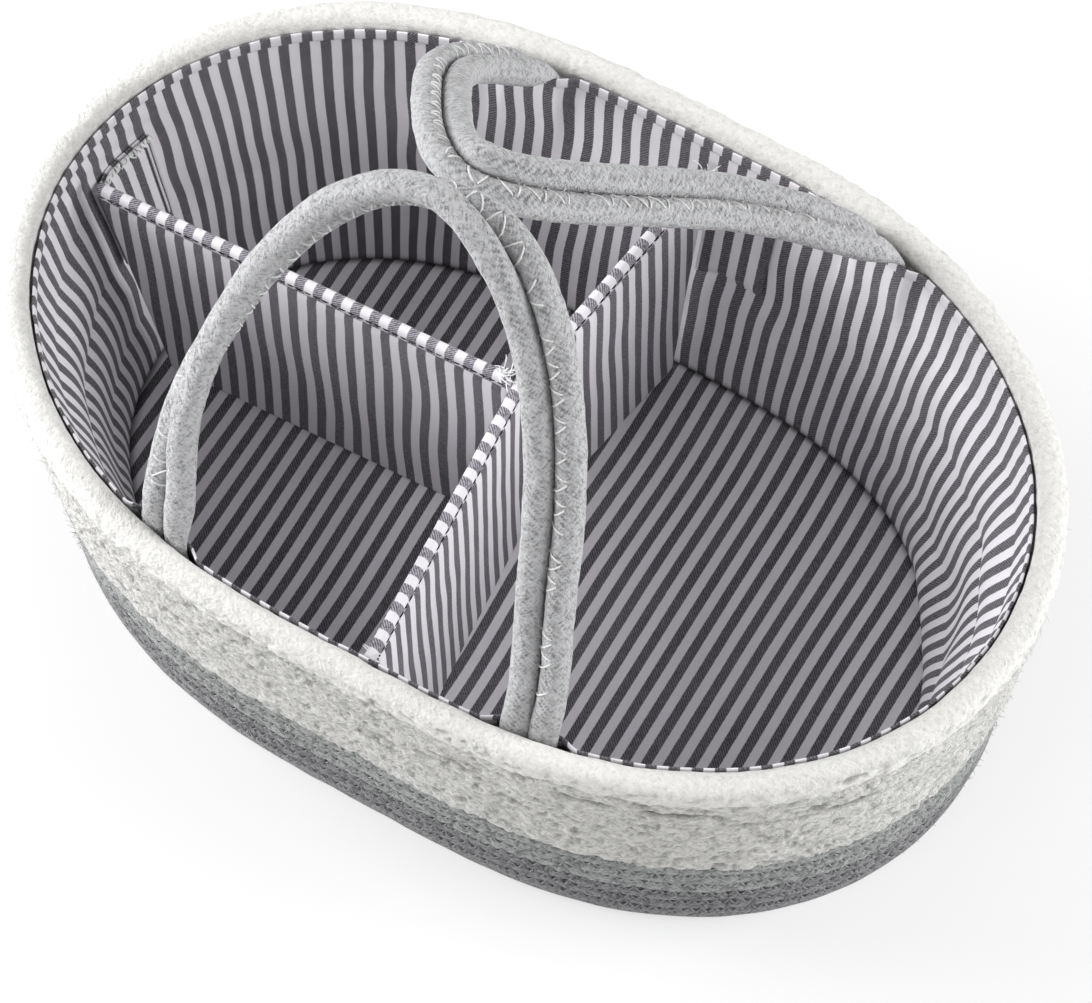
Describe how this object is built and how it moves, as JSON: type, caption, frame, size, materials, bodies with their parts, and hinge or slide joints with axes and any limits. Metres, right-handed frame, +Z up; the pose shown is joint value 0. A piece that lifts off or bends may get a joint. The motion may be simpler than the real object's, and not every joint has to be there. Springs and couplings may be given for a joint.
{
  "type": "diaper caddy",
  "caption": "Oval coiled-rope diaper caddy with a striped cotton lining, a removable T-shaped divider held by hook-and-loop tabs, and rope loop handles.",
  "frame": {"origin": "on the floor under the middle of the basket", "axes": "+X along the long side away from the short divider panel, +Y to the rear side where the handle leans lower, +Z up"},
  "size_m": [0.38, 0.25, 0.2901],
  "materials": {
    "dark_grey_rope": "heather grey cotton rope, zigzag stitched",
    "light_grey_rope": "light grey cotton rope, zigzag stitched",
    "white_rope": "felted off-white cotton rope, zigzag stitched",
    "handle_rope": "heather light grey cotton rope",
    "striped_cotton": "woven cotton with grey and white stripes",
    "stiff_board": "plain",
    "hook_and_loop": "white nylon hook-and-loop tape"
  },
  "bodies": {
    "basket": {"base_coil": "dark_grey_rope", "lower_rope_band": "dark_grey_rope", "middle_rope_band": "light_grey_rope", "upper_rope_band": "white_rope", "rim_rope": "white_rope", "lining_wall": "striped_cotton", "lining_floor": "striped_cotton", "lining_binding": "striped_cotton", "left_loop_strip": "hook_and_loop", "rear_loop_strip": "hook_and_loop", "front_loop_strip": "hook_and_loop", "front_handle_left_foot": "handle_rope", "front_handle_right_foot": "handle_rope", "rear_handle_left_foot": "handle_rope", "rear_handle_right_foot": "handle_rope"},
    "divider": {"cross_divider_cover": "striped_cotton", "cross_divider_board": "stiff_board", "cross_divider_binding": "striped_cotton", "short_divider_cover": "striped_cotton", "short_divider_board": "stiff_board", "short_divider_binding": "striped_cotton"},
    "left_tab": {"left_tab": "striped_cotton", "left_hook_strip": "hook_and_loop"},
    "rear_tab": {"rear_tab": "striped_cotton", "rear_hook_strip": "hook_and_loop"},
    "front_tab": {"front_tab": "striped_cotton", "front_hook_strip": "hook_and_loop"},
    "front_handle": {"front_handle_inner_rope": "handle_rope", "front_handle_outer_rope": "handle_rope"},
    "rear_handle": {"rear_handle_inner_rope": "handle_rope", "rear_handle_outer_rope": "handle_rope"}
  },
  "joints": [
    {"name": "front_handle_swing", "type": "hinge", "parent": "basket", "child": "front_handle", "pos_m": [0, -0.10657, 0.14051], "axis": [1, 0, 0], "range_deg": [0, 120]},
    {"name": "rear_handle_swing", "type": "hinge", "parent": "basket", "child": "rear_handle", "pos_m": [0, 0.10657, 0.14051], "axis": [-1, 0, 0], "range_deg": [0, 134]},
    {"name": "divider_lift", "type": "slide", "parent": "basket", "child": "divider", "axis": [0, 0, 1], "range_m": [0, 0.07]},
    {"name": "left_tab_fold", "type": "hinge", "parent": "divider", "child": "left_tab", "pos_m": [-0.16768, -0.0001, 0.08988], "axis": [0.1928, 0.0002, -0.9812], "range_deg": [0, 80]},
    {"name": "rear_tab_fold", "type": "hinge", "parent": "divider", "child": "rear_tab", "pos_m": [0.01128, 0.10212, 0.08988], "axis": [-0.0083, -0.1917, -0.9814], "range_deg": [0, 80]},
    {"name": "front_tab_fold", "type": "hinge", "parent": "divider", "child": "front_tab", "pos_m": [0.00569, -0.10241, 0.08988], "axis": [0.0042, -0.1923, 0.9813], "range_deg": [0, 80]}
  ]
}
